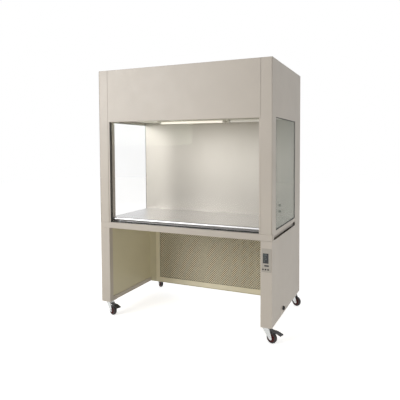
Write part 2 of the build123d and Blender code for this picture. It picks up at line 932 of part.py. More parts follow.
with BuildPart() as display_windows:
    with BuildSketch(Plane.XZ.offset(-front)):
        with Locations((display_x, display_low + display_height / 2)):
            Rectangle(display_width, display_height)
        with Locations((status_x, base + status_bottom + status_height / 2)):
            Rectangle(status_width, status_height)
    extrude(amount=window_thickness)
save(display_windows.part, "display_windows")

# Buttons: cap through the plate, a collar behind it that keeps the cap in.
collar_radius = button_radius + collar_lap
board_y = front + 2 * sheet + button_travel
board_low = base + panel_bottom + control_inset + board_gap
board_high = base + panel_bottom + panel_height - control_inset - board_gap
for number, step in enumerate((-1, 0, 1), start=1):
    with BuildPart() as button:
        centre = (button_centre_x + step * button_pitch, base + button_z)
        with BuildSketch(Plane.XZ.offset(-(front + fit_gap))):
            with Locations(centre):
                Circle(button_radius)
        extrude(amount=panel_thickness + fit_gap + button_stand)
        fillet(button.edges().filter_by(GeomType.CIRCLE).sort_by(Axis.Y)[0], radius=button_round)
        with BuildSketch(Plane.XZ.offset(-(front + fit_gap))):
            with Locations(centre):
                Circle(collar_radius)
        extrude(amount=-collar_thickness)
    save(button.part, f"button_{number}")

with BuildPart() as control_board:
    board_half = panel_width / 2 - control_inset - board_gap
    middle = (control_left + control_right) / 2
    block(
        middle - board_half,
        middle + board_half,
        board_y,
        board_y + board_thickness,
        board_low,
        board_high,
    )
    for post_z in (board_low + post_inset_z, board_high - post_inset_z):
        for post_x in (middle - board_half + post_inset_x, middle + board_half - post_inset_x):
            rod((post_x, front, post_z), board_post, board_y - front, "Y")
save(control_board.part, "control_board")

# Cable gland: hexagon body outside, thread and nut inside the side panel, cable bore through it.
gland_centre_y = front + gland_y
gland_centre_z = base + gland_z
with BuildPart() as cable_gland:
    with BuildSketch(Plane.YZ.offset(half_width)):
        with Locations((gland_centre_y, gland_centre_z)):
            RegularPolygon(gland_radius, 6)
    extrude(amount=gland_nose / 2)
    with BuildSketch(Plane.YZ.offset(half_width + gland_nose / 2)):
        with Locations((gland_centre_y, gland_centre_z)):
            Circle(gland_cap)
    extrude(amount=gland_nose / 2, taper=gland_taper)
    gland_tail_x = half_width - sheet - gland_tail
    rod((gland_tail_x, gland_centre_y, gland_centre_z), gland_bore + gland_wall, sheet + gland_tail, "X")
    rod(
        (gland_tail_x - cut_over, gland_centre_y, gland_centre_z),
        gland_bore,
        sheet + gland_tail + gland_nose + 2 * cut_over,
        "X",
        mode=Mode.SUBTRACT,
    )
save(cable_gland.part, "cable_gland")

# ------------------------------------------------------------------ casters
race_split = fork_top + raceway_height
kingpin_foot = fork_top - fork_sheet - fit_gap
plate_bottom = caster_height - plate_thickness
caster_places = {
    "front_left": (-half_width + caster_inset, front + caster_inset),
    "front_right": (half_width - caster_inset, front + caster_inset),
    "rear_left": (-half_width + caster_inset, back - caster_inset),
    "rear_right": (half_width - caster_inset, back - caster_inset),
}
with BuildPart() as caster_plates:
    for place_x, place_y in caster_places.values():
        with Locations((place_x, place_y, caster_height - plate_thickness / 2)):
            Box(caster_plate, caster_plate, plate_thickness)
        upper_race = race_split + fit_gap
        rod((place_x, place_y, upper_race), raceway_radius, plate_bottom - upper_race, "Z")
        rod((place_x, place_y, kingpin_foot), kingpin_radius, fork_sheet + raceway_height + cut_over, "Z")
        rod((place_x, place_y, kingpin_foot - kingpin_head), kingpin_radius + kingpin_head, kingpin_head, "Z")
save(caster_plates.part, "caster_plates")


def make_fork(braked):
    """Pressed U-shaped fork with raceway, riveted axle and, if braked, the pedal's pin."""
    with BuildPart() as fork:
        for y_side in (-1, 1):
            y_plane = y_side * fork_gap / 2 + (fork_sheet if y_side > 0 else 0)
            with BuildSketch(Plane.XZ.offset(-y_plane)):
                with Locations((0, fork_top - cheek_depth / 2)):
                    Rectangle(2 * fork_crown, cheek_depth)
                with Locations((trail, wheel_radius)):
                    Circle(axle_radius + boss_wall)
                make_hull()
            extrude(amount=fork_sheet)
        with BuildSketch(Plane.XY.offset(fork_top - fork_sheet)):
            Rectangle(2 * fork_crown, fork_gap + 2 * fork_sheet)
        extrude(amount=fork_sheet)
        with BuildSketch(Plane.XY.offset(fork_top)):
            Circle(raceway_radius)
        extrude(amount=race_split - fork_top)
        rod(
            (0, 0, fork_top - fork_sheet - cut_over),
            kingpin_radius + running_gap,
            race_split,
            "Z",
            mode=Mode.SUBTRACT,
        )
        half = fork_gap / 2 + fork_sheet
        rod((trail, -half - bolt_head, wheel_radius), axle_radius, 2 * (half + bolt_head), "Y")
        for head in (-half - bolt_head, half):
            rod((trail, head, wheel_radius), axle_radius + bolt_head, bolt_head, "Y")
        if braked:
            pin_end = half + pin_stand
            rod((pedal_pin_x, -pin_end, pedal_pin_z), pedal_pin_radius, 2 * pin_end, "Y")
    return fork.part


def make_wheel():
    """Wheel: rounded tread, dished web and a wide hub, turned about the axle."""
    rim = wheel_radius - tread_depth
    half_profile = (
        (wheel_width / 2 - tread_edge, wheel_radius),
        (wheel_width / 2, wheel_radius - tread_shoulder),
        (wheel_width / 2, rim),
        (wheel_width / 2 - web_inset, rim - rim_slope),
        (wheel_width / 2 - web_inset, axle_radius + hub_foot),
        (hub_width / 2, axle_radius + hub_wall),
        (hub_width / 2, axle_radius + running_gap),
    )
    other_half = [(-x, y) for x, y in reversed(half_profile)]
    with BuildPart() as wheel:
        with BuildSketch(Plane.XY):
            with BuildLine():
                Polyline(*half_profile, *other_half, close=True)
            make_face()
        revolve(axis=Axis.X)
    return wheel.part


def make_pedal():
    """Brake pedal: barrel on its pin, shoe over the tread, tread plate that sticks out behind."""
    with BuildPart() as pedal:
        with BuildSketch(Plane.XZ.offset(-barrel_length / 2)):
            with Locations((pedal_pin_x, pedal_pin_z)):
                Circle(pedal_pin_radius + barrel_wall)
            with BuildLine():
                Polyline(
                    (pedal_pin_x, pedal_pin_z + barrel_rise),
                    *[(x, pedal_pin_z + z) for x, z in shoe_points],
                    (pedal_pin_x, pedal_pin_z),
                    close=True,
                )
            make_face()
        extrude(amount=barrel_length)
        with BuildSketch(Plane.XZ.offset(-pedal_width / 2)):
            with BuildLine():
                Polyline(*[(x, pedal_pin_z + z) for x, z in tread_points], close=True)
            make_face()
        extrude(amount=pedal_width)
        rod(
            (pedal_pin_x, -pedal_width / 2 - cut_over, pedal_pin_z),
            pedal_pin_radius + running_gap,
            pedal_width + 2 * cut_over,
            "Y",
            mode=Mode.SUBTRACT,
        )
    return pedal.part


for corner, (place_x, place_y) in caster_places.items():
    braked = corner.startswith("front")
    seat = Location((place_x, place_y, 0), (0, 0, caster_turn[corner]))
    save(make_fork(braked).moved(seat), f"{corner}_fork")
    spun = make_wheel().moved(Location((trail, 0, wheel_radius), (0, 0, 90)))
    save(spun.moved(seat), f"{corner}_wheel")
    if braked:
        save(make_pedal().moved(seat), f"{corner}_brake_pedal")

# ------------------------------------------------------------------ screws in the back panels
with BuildPart() as back_screws:
    for level in (
        base + screw_inset,
        frame_bottom - screw_inset,
        frame_top + screw_inset,
        under_top - screw_inset,
    ):
        for column in range(screw_columns):
            x = (2 * column / (screw_columns - 1) - 1) * (side_inner - screw_inset)
            rod((x, back, level), screw_radius, screw_head, "Y")
save(back_screws.part, "back_screws")
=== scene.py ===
# %% [markdown]
# # Laminar flow hood
# A laminar flow hood blows filtered air down over a clean work surface. This one is a steel
# cabinet on four casters: a bench with a closed space behind it for the blowers, glass round the
# chamber, and the filter in the tall head. The solids come ready made, so every lesson here is
# about finish and fine detail: powder coat, brushed steel, glass, perforated sheet, rubber.
# Everything is in metres, the floor is at zero height and the front faces the -Y direction.

# %% Load the cabinet
import json
import math

import bmesh
import bpy
from mathutils import Matrix, Vector


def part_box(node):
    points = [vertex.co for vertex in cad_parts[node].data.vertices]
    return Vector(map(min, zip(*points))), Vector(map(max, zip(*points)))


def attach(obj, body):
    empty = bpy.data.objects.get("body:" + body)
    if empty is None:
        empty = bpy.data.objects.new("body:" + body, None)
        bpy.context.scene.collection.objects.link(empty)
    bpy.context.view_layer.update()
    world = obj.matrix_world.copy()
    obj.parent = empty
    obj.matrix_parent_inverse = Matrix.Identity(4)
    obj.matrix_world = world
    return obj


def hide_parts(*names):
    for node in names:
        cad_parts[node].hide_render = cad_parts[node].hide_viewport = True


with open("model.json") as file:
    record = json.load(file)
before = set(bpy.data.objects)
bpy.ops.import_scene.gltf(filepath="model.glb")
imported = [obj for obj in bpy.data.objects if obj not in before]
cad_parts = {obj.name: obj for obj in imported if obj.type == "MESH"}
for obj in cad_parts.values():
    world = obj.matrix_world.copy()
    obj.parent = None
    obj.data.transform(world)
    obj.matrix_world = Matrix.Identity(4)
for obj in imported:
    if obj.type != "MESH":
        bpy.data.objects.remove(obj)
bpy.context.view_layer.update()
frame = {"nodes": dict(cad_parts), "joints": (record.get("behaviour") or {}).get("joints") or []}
solids = frame["nodes"]

# %% [markdown]
# The camera stands a little to the right of the cabinet, at chest height, and looks almost level.
# Its turn is written as four plain rotations so that each can be read on its own: round the
# vertical, a slight tip, a hair of roll, then upright. The lens shift centres the cabinet.

# %% Camera
camera_place = (1.43725, -2.90388, 1.27907)
camera_heading = 0.378367
camera_tip = -0.041867
camera_roll = 0.001329

lens = bpy.data.cameras.new("bench_camera")
lens.sensor_width = 36.0
lens.lens = 36.99
lens.shift_x = -0.0922
lens.shift_y = -0.0863
camera = bpy.data.objects.new("bench_camera", lens)
bpy.context.scene.collection.objects.link(camera)
camera.matrix_world = (
    Matrix.Translation(camera_place)
    @ Matrix.Rotation(camera_heading, 4, "Z")
    @ Matrix.Rotation(camera_tip, 4, "X")
    @ Matrix.Rotation(camera_roll, 4, "Y")
    @ Matrix.Rotation(math.pi / 2, 4, "X")
)
bpy.context.scene.camera = camera
print("camera at", camera_place)

# %% [markdown]
# Shader sockets want linear colour, while a person picks screen colour from 0 to 255. One small
# function turns one into the other. Two more keep the node code short: one adds a node and
# fills its sockets, the other links two of them.


# %% Colour and node helpers
def screen_colour(red, green, blue):
    """Screen colour from 0 to 255 as a linear colour with full alpha."""
    linear = []
    for value in (red / 255.0, green / 255.0, blue / 255.0):
        linear.append(value / 12.92 if value <= 0.04045 else ((value + 0.055) / 1.055) ** 2.4)
    return (*linear, 1.0)


def put(finish, kind, **sockets):
    """Adds a node to a finish and fills the sockets named, with _ for a space."""
    node = finish.node_tree.nodes.new(kind)
    for name, value in sockets.items():
        node.inputs[name.replace("_", " ")].default_value = value
    return node


def wire(finish, source, target):
    finish.node_tree.links.new(source, target)


def bare_finish(name, colour, roughness, metallic=0.0):
    """New material with its shader set, and the object coordinates every pattern reads."""
    finish = bpy.data.materials.new(name)
    finish.use_nodes = True
    shader = finish.node_tree.nodes["Principled BSDF"]
    shader.inputs["Base Color"].default_value = colour
    shader.inputs["Roughness"].default_value = roughness
    shader.inputs["Metallic"].default_value = metallic
    place = put(finish, "ShaderNodeTexCoord")
    return finish, shader, place.outputs["Object"]


def blend_colours(finish, factor, dark, light):
    """Mixes two colours by a factor socket and returns the colour socket."""
    mix = finish.node_tree.nodes.new("ShaderNodeMix")
    mix.data_type = "RGBA"
    mix.inputs[6].default_value = dark
    mix.inputs[7].default_value = light
    wire(finish, factor, mix.inputs[0])
    return mix.outputs[2]


def spread(finish, factor, low, high, first=0.0, last=1.0):
    """Maps a factor socket from first..last to low..high."""
    ranger = put(finish, "ShaderNodeMapRange", From_Min=first, From_Max=last, To_Min=low, To_Max=high)
    wire(finish, factor, ranger.inputs["Value"])
    return ranger.outputs["Result"]


def bump(finish, shader, height, strength, depth):
    """Gives the surface a fine relief from a height socket, depth in metres."""
    relief = put(finish, "ShaderNodeBump", Strength=strength, Distance=depth)
    wire(finish, height, relief.inputs["Height"])
    wire(finish, relief.outputs["Normal"], shader.inputs["Normal"])


def grain(finish, place, scale, detail=2.0, roughness=0.5, stretch=(1.0, 1.0, 1.0)):
    """Noise at a scale per metre, stretched along an axis where stretch is small."""
    mapping = put(finish, "ShaderNodeMapping")
    mapping.inputs["Scale"].default_value = stretch
    wire(finish, place, mapping.inputs["Vector"])
    noise = put(finish, "ShaderNodeTexNoise", Scale=scale, Detail=detail, Roughness=roughness)
    wire(finish, mapping.outputs["Vector"], noise.inputs["Vector"])
    return noise.outputs["Fac"]


# %% [markdown]
# Powder coat is dry paint powder melted onto the steel. It shows a faint orange peel of about a
# millimetre, a satin gloss, and a slow drift of shade where the oven was uneven. So three noises
# are used: a wide one for the shade, a middle one for the gloss and a fine one for the relief.


# %% Powder coat
def powder_coat(name, colour, drift=0.05, roughness=0.42):
    finish, shader, place = bare_finish(name, colour, roughness)
    darker = tuple(c * (1.0 - drift) for c in colour[:3]) + (1.0,)
    lighter = tuple(min(1.0, c * (1.0 + drift)) for c in colour[:3]) + (1.0,)
    cloud = spread(finish, grain(finish, place, 2.3, 3.0), 0.0, 1.0, 0.3, 0.7)
    wire(finish, blend_colours(finish, cloud, darker, lighter), shader.inputs["Base Color"])
    sheen = grain(finish, place, 14.0, 3.0)
    wire(finish, spread(finish, sheen, roughness - 0.06, roughness + 0.08), shader.inputs["Roughness"])
    bump(finish, shader, grain(finish, place, 700.0, 1.0), 0.25, 0.0002)
    return finish


cream_paint = powder_coat("cream_paint", screen_colour(206, 198, 189))
# Lighter and warmer copy of the cream paint for the inner panels, plenum front and corner strips:
# painted bounce light that lifts the shade of the knee space.
painted_bounce_inner_paint = powder_coat("cream_paint_inner_painted_bounce", screen_colour(224, 217, 189))
# Lighter, warmer copy of the cream paint for the intake sheet: painted bounce light in the shaded knee
# space.
painted_bounce_grille_paint = powder_coat("cream_paint_grille_painted_bounce", screen_colour(228, 219, 194))
# Much lighter copy of the cream paint for the intake's frame: a painted highlight where the frame
# catches the light.
painted_highlight_frame_paint = powder_coat("cream_paint_frame_painted_highlight", screen_colour(246, 238, 213))
panel_paint = powder_coat("panel_grey", screen_colour(184, 178, 170), 0.03, 0.5)
print("powder coats: 5")

# %% [markdown]
# Brushed steel is drawn with fine parallel scratches. Noise squeezed along the brushing
# direction makes them; it drives the gloss and a hair of relief, while the colour only drifts.
# Galvanised sheet shows zinc crystals, which Voronoi cells give.


# %% Metals
def brushed_steel(name, colour, roughness, metallic, stretch, scale=420.0):
    finish, shader, place = bare_finish(name, colour, roughness, metallic)
    strokes = grain(finish, place, scale, 2.0, 0.6, stretch)
    darker = tuple(c * 0.93 for c in colour[:3]) + (1.0,)
    wire(finish, blend_colours(finish, strokes, darker, colour), shader.inputs["Base Color"])
    wire(
        finish, spread(finish, strokes, roughness * 0.75, roughness * 1.3), shader.inputs["Roughness"]
    )
    bump(finish, shader, strokes, 0.04, 0.00005)
    return finish


def zinc_sheet(name, colour, roughness, crystal):
    finish, shader, place = bare_finish(name, colour, roughness, 1.0)
    cells = put(finish, "ShaderNodeTexVoronoi", Scale=1.0 / crystal, Randomness=1.0)
    wire(finish, place, cells.inputs["Vector"])
    tone = put(finish, "ShaderNodeSeparateColor")
    wire(finish, cells.outputs["Color"], tone.inputs["Color"])
    darker = tuple(c * 0.86 for c in colour[:3]) + (1.0,)
    wire(finish, blend_colours(finish, tone.outputs["Red"], darker, colour), shader.inputs["Base Color"])
    wire(
        finish,
        spread(finish, tone.outputs["Green"], roughness * 0.8, roughness * 1.25),
        shader.inputs["Roughness"],
    )
    bump(finish, shader, grain(finish, place, 260.0), 0.1, 0.0001)
    return finish


worktop_steel = brushed_steel(
    "stainless_worktop", screen_colour(226, 225, 226), 0.3, 0.9, (0.02, 1.0, 1.0)
)
wall_steel = brushed_steel(
    "stainless_wall", screen_colour(200, 195, 186), 0.45, 0.55, (1.0, 1.0, 0.02)
)
zinc_plate = zinc_sheet("zinc_steel", screen_colour(206, 208, 208), 0.2, 0.004)
galvanised = zinc_sheet("galvanised_steel", screen_colour(196, 199, 202), 0.4, 0.012)
motor_case = zinc_sheet("motor_metal", screen_colour(150, 152, 156), 0.45, 0.02)
print("metals: 5")

# %% [markdown]
# A pane of clear glass is almost nothing to look at: it lets the light through and only mirrors
# a little, more at a slant. A full refracting glass would throw dark shadows into the chamber,
# so the pane is a mirror that covers more at a slant, as real glass does, and is open elsewhere.


# %% Glass
def pane_glass(name, tint, least, most=0.9, smear=0.012):
    """Mirror with a cover of least when seen square on, up to most at a slant."""
    finish, shader, place = bare_finish(name, tint, 0.03, 1.0)
    slant = put(finish, "ShaderNodeLayerWeight")
    steep = put(finish, "ShaderNodeMath")
    steep.operation = "POWER"
    steep.inputs[1].default_value = 5.0
    wire(finish, slant.outputs["Facing"], steep.inputs[0])
    smears = spread(finish, grain(finish, place, 5.0, 4.0), 0.0, smear, 0.45, 0.75)
    cover = put(finish, "ShaderNodeMath")
    cover.operation = "ADD"
    cover.use_clamp = True
    wire(finish, spread(finish, steep.outputs["Value"], least, most), cover.inputs[0])
    wire(finish, smears, cover.inputs[1])
    wire(finish, cover.outputs["Value"], shader.inputs["Alpha"])
    return finish


clear_glass = pane_glass("clear_glass", screen_colour(150, 158, 142), 0.008)
# The right pane is a darker, greener copy of the glass that covers a fifth even seen square on: painted
# shade and a painted dark reflection.
side_glass = pane_glass("side_glass", screen_colour(74, 84, 64), 0.2)
print("glasses: 2")

# %% [markdown]
# Rubber and moulded plastic scatter light from a slightly uneven skin, so their gloss and a very
# fine relief come from the same noise. Fleece and filter paper are the same idea with coarser
# fibres, so one function makes them all.


# %% Rubber, plastic, fleece and paper
def moulded(name, colour, roughness, scale, strength, drift=0.08, glow=0.0):
    finish, shader, place = bare_finish(name, colour, roughness)
    shader.inputs["Emission Color"].default_value = colour
    shader.inputs["Emission Strength"].default_value = glow
    skin = grain(finish, place, scale, 3.0, 0.6)
    darker = tuple(c * (1.0 - drift) for c in colour[:3]) + (1.0,)
    wire(finish, blend_colours(finish, skin, darker, colour), shader.inputs["Base Color"])
    wire(finish, spread(finish, skin, roughness - 0.08, roughness + 0.08), shader.inputs["Roughness"])
    bump(finish, shader, skin, strength, 0.0003)
    return finish


black_rubber = moulded("black_rubber", screen_colour(28, 28, 27), 0.62, 500.0, 0.3)
black_plastic = moulded("black_plastic", screen_colour(26, 26, 27), 0.42, 900.0, 0.2)
white_plastic = moulded("white_plastic", screen_colour(226, 224, 216), 0.4, 800.0, 0.15, 0.03)
white_lamp = moulded("white_lamp", screen_colour(240, 235, 224), 0.25, 60.0, 0.02, 0.03, 0.75)
tread_rubber = moulded("wheel_rubber", screen_colour(34, 25, 25), 0.5, 600.0, 0.3, 0.15)
hub_plastic = moulded("wheel_hub", screen_colour(92, 30, 30), 0.38, 700.0, 0.15)
tube_quartz = moulded("clear_tube", screen_colour(232, 230, 224), 0.18, 60.0, 0.02, 0.03, 0.25)
fleece = moulded("prefilter_fleece", screen_colour(100, 96, 82), 0.9, 260.0, 0.9, 0.5)
filter_paper = moulded("filter_paper", screen_colour(232, 230, 222), 0.85, 400.0, 0.3, 0.05)
# The diffuser screen glows a little though it is no lamp: painted light that brightens the chamber's
# ceiling.
screen_paint_painted_glow = moulded("screen_mesh", screen_colour(236, 232, 221), 0.45, 600.0, 0.1, 0.04, 0.2)
board_green = moulded("board_green", screen_colour(34, 84, 52), 0.45, 300.0, 0.1)
display_black = moulded("display_black", screen_colour(46, 48, 52), 0.2, 1200.0, 0.03)
pedal_black = moulded("pedal_black", screen_colour(56, 57, 60), 0.3, 700.0, 0.15)
print("moulded finishes: 13")

# %% [markdown]
# Each solid comes with the name of its finish. The table below puts a made finish in its place, and a
# second table names the few solids that take another finish: the rear wall's steel and the pedals'
# black, and also the lighter cream copies on the knee space, the intake and its frame and the darker
# right pane, which are painted light and shade.

# %% Finishes onto the solids
finish_of_slot = {
    "cream_paint": cream_paint,
    "galvanised_steel": galvanised,
    "stainless_steel": worktop_steel,
    "clear_glass": clear_glass,
    "black_rubber": black_rubber,
    "black_plastic": black_plastic,
    "prefilter_fleece": fleece,
    "filter_paper": filter_paper,
    "screen_mesh": screen_paint_painted_glow,
    "white_lamp": white_lamp,
    "clear_tube": tube_quartz,
    "white_plastic": white_plastic,
    "motor_metal": motor_case,
    "panel_grey": panel_paint,
    "display_black": display_black,
    "board_green": board_green,
    "zinc_steel": zinc_plate,
    "wheel_rubber": tread_rubber,
}
own_or_painted_light_finish = {
    "left_inner_panel": painted_bounce_inner_paint,
    "right_inner_panel": painted_bounce_inner_paint,
    "plenum_front": painted_bounce_inner_paint,
    "grille_frame": painted_highlight_frame_paint,
    "intake_grille": painted_bounce_grille_paint,
    "chamber_rear_wall": wall_steel,
    "right_side_glass": side_glass,
    "left_side_glass": clear_glass,
    "front_left_brake_pedal": pedal_black,
    "front_right_brake_pedal": pedal_black,
}
for name, solid in solids.items():
    for holder in solid.material_slots:
        old = holder.material.name.split(".")[0] if holder.material else ""
        holder.material = own_or_painted_light_finish.get(name) or finish_of_slot.get(old) or cream_paint
        if name not in own_or_painted_light_finish and old not in finish_of_slot:
            print("no finish for", name, repr(old))
print("solids dressed:", len(solids))


# %% [markdown]
# Two helpers serve every new piece: one turns points and faces into an object, the other says which body
# it rides on and which solids it stands for.


# %% Piece helpers
def piece_from(name, points, faces, finish):
    mesh = bpy.data.meshes.new(name)
    mesh.from_pydata([tuple(p) for p in points], [], faces)
    mesh.materials.append(finish)
    made = bpy.data.objects.new(name, mesh)
    bpy.context.scene.collection.objects.link(made)
    return made


def seat(made, body, slot, *stands_for):
    """Puts a finished piece on its body and hides the solids it stands for; the slot argument is not
    used.
    """
    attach(made, body)
    if stands_for:
        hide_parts(*stands_for)
    print(made.name, "faces:", len(made.data.polygons))


def face_outward(made):
    """Turns all faces of a piece outward."""
    shape = bmesh.new()
    shape.from_mesh(made.data)
    bmesh.ops.recalc_face_normals(shape, faces=shape.faces)
    shape.to_mesh(made.data)
    shape.free()


def plain_mesh(source, name):
    """The evaluated result of an object with live modifiers, as a new object without them."""
    bpy.context.view_layer.update()
    evaluated = source.evaluated_get(bpy.context.evaluated_depsgraph_get())
    mesh = bpy.data.meshes.new_from_object(evaluated)
    mesh.name = name
    made = bpy.data.objects.new(name, mesh)
    bpy.context.scene.collection.objects.link(made)
    bpy.data.objects.remove(source)
    return made


# %% [markdown]
# ## Perforated sheet
# The intake is a sheet of expanded metal: diamond openings in staggered rows. Geometry Nodes
# fit it well, because one diamond cell is drawn once and set on two offset grids. The tree
# takes the cell's size, the strand's width and the counts as inputs, so a finer mesh is one
# number away. Cutting thousands of holes out of one plate would be slow and leave poor faces.


# %% Node tree helpers
def new_tree(name, inputs):
    """Geometry tree with named inputs; returns the tree, its input node and output node."""
    tree = bpy.data.node_groups.new(name, "GeometryNodeTree")
    tree.interface.new_socket("Geometry", in_out="INPUT", socket_type="NodeSocketGeometry")
    for label, kind in inputs:
        tree.interface.new_socket(label, in_out="INPUT", socket_type=kind)
    tree.interface.new_socket("Geometry", in_out="OUTPUT", socket_type="NodeSocketGeometry")
    start = tree.nodes.new("NodeGroupInput")
    end = tree.nodes.new("NodeGroupOutput")
    return tree, start, end


def step(tree, kind, links=(), **values):
    """Adds a node, fills its sockets and links (socket name, source) pairs into it."""
    node = tree.nodes.new(kind)
    for name, value in values.items():
        if name.startswith("set_"):
            setattr(node, name[4:], value)
        else:
            node.inputs[name.replace("_", " ")].default_value = value
    for name, source in links:
        tree.links.new(source, node.inputs[name])
    return node


def arithmetic(tree, operation, first, second):
    """Math node on a socket and a second socket or plain number; returns its result."""
    node = step(tree, "ShaderNodeMath", [(0, first)], set_operation=operation)
    if isinstance(second, float):
        node.inputs[1].default_value = second
    else:
        tree.links.new(second, node.inputs[1])
    return node.outputs[0]


def paint_and_end(tree, start, end, geometry):
    """Gives the geometry the tree's Finish and sends it to the output."""
    painted = step(
        tree,
        "GeometryNodeSetMaterial",
        [("Geometry", geometry), ("Material", start.outputs["Finish"])],
    )
    tree.links.new(painted.outputs["Geometry"], end.inputs["Geometry"])


def run_tree(name, tree, values, points=()):
    """Runs a tree on a mesh of loose points with its inputs set, and returns the plain result."""
    host_mesh = bpy.data.meshes.new(name + "_host")
    host_mesh.from_pydata(list(points), [], [])
    host = bpy.data.objects.new(name + "_host", host_mesh)
    bpy.context.scene.collection.objects.link(host)
    modifier = host.modifiers.new(name, "NODES")
    modifier.node_group = tree
    identifiers = {s.name: s.identifier for s in tree.interface.items_tree if s.in_out == "INPUT"}
    for label, value in values.items():
        modifier[identifiers[label]] = value
    return plain_mesh(host, name)


# %% [markdown]
# The cell itself is a ring of four strands round a diamond opening, with front, back and the
# four inner walls. It has twelve faces, so a sheet of nearly three thousand cells stays light.


# %% Cell of the sheet
weld_distance = 1e-5  # corners of neighbouring cells closer than this become one


def ring_cell(name, outer, inner, thickness, finish):
    """Flat ring between two outlines in XZ with its back at y = thickness."""
    count = len(outer)
    points = []
    for depth in (0.0, thickness):
        points += [(x, depth, z) for x, z in outer] + [(x, depth, z) for x, z in inner]
    faces = []
    for i in range(count):
        j = (i + 1) % count
        a, b, c, d = i, j, count + j, count + i
        e, f, g, h = (v + 2 * count for v in (a, b, c, d))
        faces += [(a, b, c, d), (e, h, g, f), (d, c, g, h)]
    return piece_from(name, points, faces, finish)


def two_grids_tree(name):
    """Instances one object on two staggered grids, laid in XY and then turned."""
    tree, start, end = new_tree(
        name,
        (
            ("Cell", "NodeSocketObject"),
            ("Width", "NodeSocketFloat"),
            ("Height", "NodeSocketFloat"),
            ("Columns", "NodeSocketInt"),
            ("Rows", "NodeSocketInt"),
            ("Centre", "NodeSocketVector"),
            ("Turn", "NodeSocketVector"),
            ("Finish", "NodeSocketMaterial"),
        ),
    )
    cell = step(tree, "GeometryNodeObjectInfo", [("Object", start.outputs["Cell"])])
    join = step(tree, "GeometryNodeJoinGeometry")
    for offset in (0, 1):
        counts = []
        sizes = []
        for number_label, length_label in (("Columns", "Width"), ("Rows", "Height")):
            number = start.outputs[number_label]
            count = arithmetic(tree, "SUBTRACT", number, float(offset))
            pitch = arithmetic(tree, "DIVIDE", start.outputs[length_label], number)
            gaps = arithmetic(tree, "SUBTRACT", count, 1.0)
            counts.append(count)
            sizes.append(arithmetic(tree, "MULTIPLY", pitch, gaps))
        grid = step(
            tree,
            "GeometryNodeMeshGrid",
            [
                ("Size X", sizes[0]),
                ("Size Y", sizes[1]),
                ("Vertices X", counts[0]),
                ("Vertices Y", counts[1]),
            ],
        )
        upright = step(
            tree,
            "GeometryNodeTransform",
            [
                ("Geometry", grid.outputs["Mesh"]),
                ("Translation", start.outputs["Centre"]),
                ("Rotation", start.outputs["Turn"]),
            ],
        )
        cells = step(
            tree,
            "GeometryNodeInstanceOnPoints",
            [("Points", upright.outputs["Geometry"]), ("Instance", cell.outputs["Geometry"])],
        )
        tree.links.new(cells.outputs["Instances"], join.inputs["Geometry"])
    whole = step(tree, "GeometryNodeRealizeInstances", [("Geometry", join.outputs["Geometry"])])
    merged = step(
        tree,
        "GeometryNodeMergeByDistance",
        [("Geometry", whole.outputs["Geometry"])],
        Distance=weld_distance,
    )
    paint_and_end(tree, start, end, merged.outputs["Geometry"])
    return tree


# %% Intake sheet
grille_low, grille_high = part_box("intake_grille")
sheet_columns, sheet_rows = 52, 27
sheet_width = grille_high.x - grille_low.x
sheet_height = grille_high.z - grille_low.z
half_x = sheet_width / sheet_columns / 2
half_z = sheet_height / sheet_rows / 2
opening_share = 0.62
diamond = [(-half_x, 0.0), (0.0, -half_z), (half_x, 0.0), (0.0, half_z)]
opening = [(x * opening_share, z * opening_share) for x, z in diamond]
cell = ring_cell("diamond_cell", diamond, opening, grille_high.y - grille_low.y, painted_bounce_grille_paint)
grid_tree = two_grids_tree("staggered_cells")
intake = run_tree(
    "intake_expanded_sheet",
    grid_tree,
    {
        "Cell": cell,
        "Width": sheet_width,
        "Height": sheet_height,
        "Columns": sheet_columns,
        "Rows": sheet_rows,
        "Centre": (
            (grille_low.x + grille_high.x) / 2,
            grille_low.y,
            (grille_low.z + grille_high.z) / 2,
        ),
        "Turn": (math.pi / 2, 0.0, 0.0),
        "Finish": painted_bounce_grille_paint,
    },
)
bpy.data.objects.remove(cell)
seat(intake, "cabinet", "cream_paint", "intake_grille")

# %% [markdown]
# ## Diffuser screen
# Above the chamber a thin painted sheet with round holes spreads the air from the filter. It
# uses the same tree as the intake, laid flat: the cell is a diamond with an eight sided hole.
# A plain margin runs round it, where the real sheet is screwed to the ceiling.

# %% Diffuser screen
screen_low, screen_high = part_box("diffuser_screen")
screen_margin = 0.012
hole_pitch = 0.018
hole_radius = 0.0055
screen_skin = 0.0001
perforated_x = screen_high.x - screen_low.x - 2 * screen_margin
perforated_y = screen_high.y - screen_low.y - 2 * screen_margin
screen_columns = round(perforated_x / hole_pitch)
screen_rows = round(perforated_y / hole_pitch)
reach_x = perforated_x / screen_columns / 2
reach_y = perforated_y / screen_rows / 2
tile = []
hole = []
for step_number in range(8):
    angle = step_number * math.pi / 4
    side = abs(math.cos(angle)) + abs(math.sin(angle))
    tile.append((reach_x * math.cos(angle) / side, reach_y * math.sin(angle) / side))
    hole.append((hole_radius * math.cos(angle), hole_radius * math.sin(angle)))
lay_flat = Matrix.Rotation(math.pi / 2, 4, "X")
cell = ring_cell("round_hole_cell", tile, hole, screen_high.z - screen_low.z, screen_paint_painted_glow)
cell.data.transform(lay_flat)
screen_centre = (screen_low + screen_high) / 2
screen = run_tree(
    "diffuser_perforated_screen",
    grid_tree,
    {
        "Cell": cell,
        "Width": perforated_x,
        "Height": perforated_y,
        "Columns": screen_columns,
        "Rows": screen_rows,
        "Centre": (screen_centre.x, screen_centre.y, screen_low.z),
        "Turn": (0.0, 0.0, 0.0),
        "Finish": screen_paint_painted_glow,
    },
)
bpy.data.objects.remove(cell)
seat(screen, "cabinet", "screen_mesh", "diffuser_screen")


def corners_of(x0, x1, y0, y1):
    return [(x0, y0), (x1, y0), (x1, y1), (x0, y1)]


